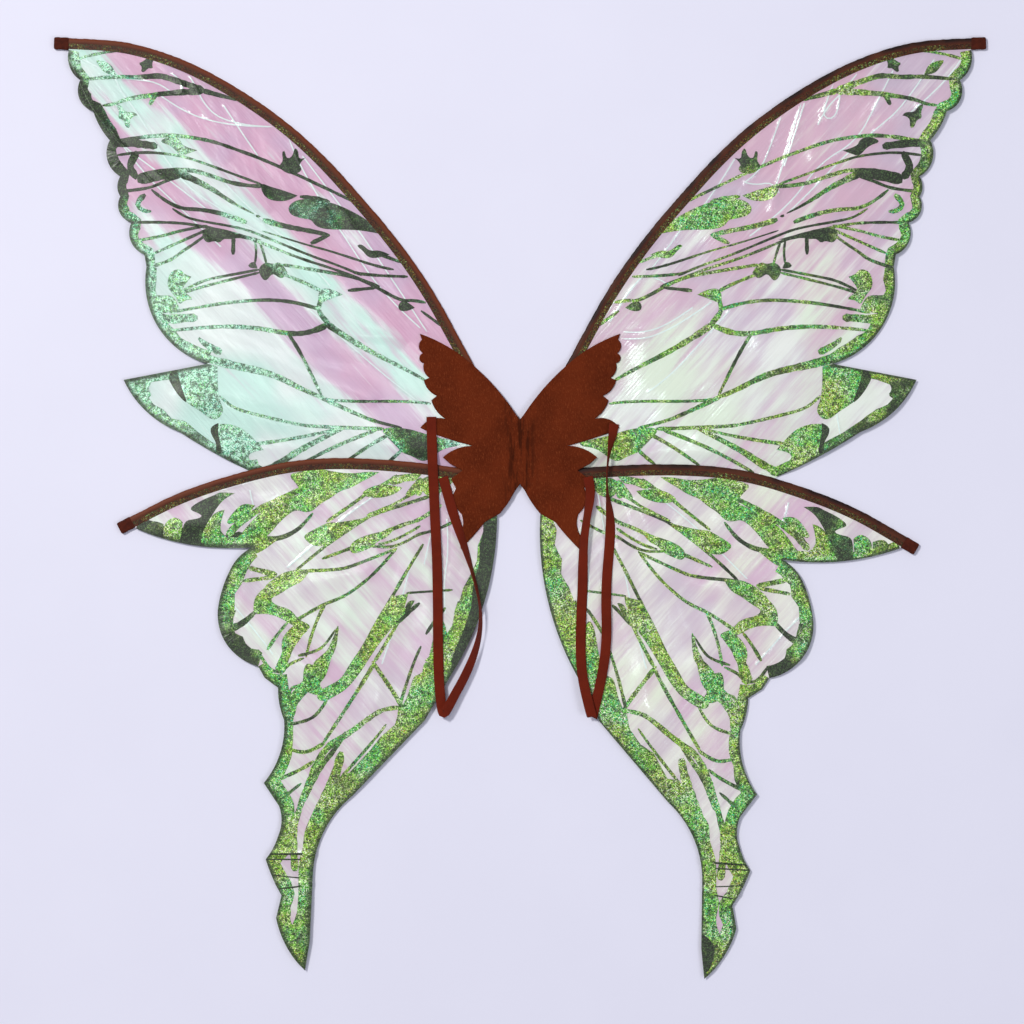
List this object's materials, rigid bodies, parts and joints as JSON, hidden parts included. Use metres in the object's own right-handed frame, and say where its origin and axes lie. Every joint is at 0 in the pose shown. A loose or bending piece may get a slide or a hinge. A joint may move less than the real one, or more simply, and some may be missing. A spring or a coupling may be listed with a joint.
{
  "type": "fairy wings",
  "caption": "Flat costume butterfly wings: printed see-through film on sprung edge rods, a felt centre that folds, and elastic shoulder straps.",
  "frame": {"origin": "on the table under the middle of the whole outline", "axes": "+Y up the wearer toward the upper wing tips, +X toward the wearer's right-hand wings as seen from the strap side, +Z from the table to the strap side"},
  "size_m": [0.9314, 0.9408, 0.0068],
  "materials": {
    "felt": "matte brown craft felt",
    "printed_film": "clear iridescent film with green glitter print",
    "sleeve_cloth": "dark brown woven tape",
    "spring_rod": "drawn glass-fibre rod",
    "elastic": "red-brown woven elastic",
    "hot_melt_glue": "hot-melt glue"
  },
  "bodies": {
    "centre": {"felt_front_spine": "felt", "felt_rear_spine": "felt", "glue_beads_spine": "hot_melt_glue"},
    "left_wing": {"felt_front_left": "felt", "felt_rear_left": "felt", "glue_beads_left": "hot_melt_glue", "upper_film_left": "printed_film", "lower_film_left": "printed_film", "upper_sleeve_left": "sleeve_cloth", "lower_sleeve_left": "sleeve_cloth", "upper_rod_left": "spring_rod", "lower_rod_left": "spring_rod", "upper_tip_tab_left": "sleeve_cloth", "lower_tip_tab_left": "sleeve_cloth", "strap_upper_end_left": "elastic", "strap_lower_end_left": "elastic"},
    "right_wing": {"felt_front_right": "felt", "felt_rear_right": "felt", "glue_beads_right": "hot_melt_glue", "upper_film_right": "printed_film", "lower_film_right": "printed_film", "upper_sleeve_right": "sleeve_cloth", "lower_sleeve_right": "sleeve_cloth", "upper_rod_right": "spring_rod", "lower_rod_right": "spring_rod", "upper_tip_tab_right": "sleeve_cloth", "lower_tip_tab_right": "sleeve_cloth", "strap_upper_end_right": "elastic", "strap_lower_end_right": "elastic"},
    "left_strap": {"strap_loop_left": "elastic"},
    "right_strap": {"strap_loop_right": "elastic"}
  },
  "joints": [
    {"name": "left_wing_fold", "type": "hinge", "parent": "centre", "child": "left_wing", "pos_m": [-0.005, 0.056, 0.0057], "axis": [0, 1, 0], "range_deg": [0, 85]},
    {"name": "right_wing_fold", "type": "hinge", "parent": "centre", "child": "right_wing", "pos_m": [0.005, 0.056, 0.0057], "axis": [0, -1, 0], "range_deg": [0, 85]},
    {"name": "left_strap_lift", "type": "hinge", "parent": "left_wing", "child": "left_strap", "pos_m": [-0.078, 0.018, 0.0074], "axis": [-1, 0, 0], "range_deg": [0, 180]},
    {"name": "right_strap_lift", "type": "hinge", "parent": "right_wing", "child": "right_strap", "pos_m": [0.078, 0.018, 0.0074], "axis": [-1, 0, 0], "range_deg": [0, 180]}
  ]
}
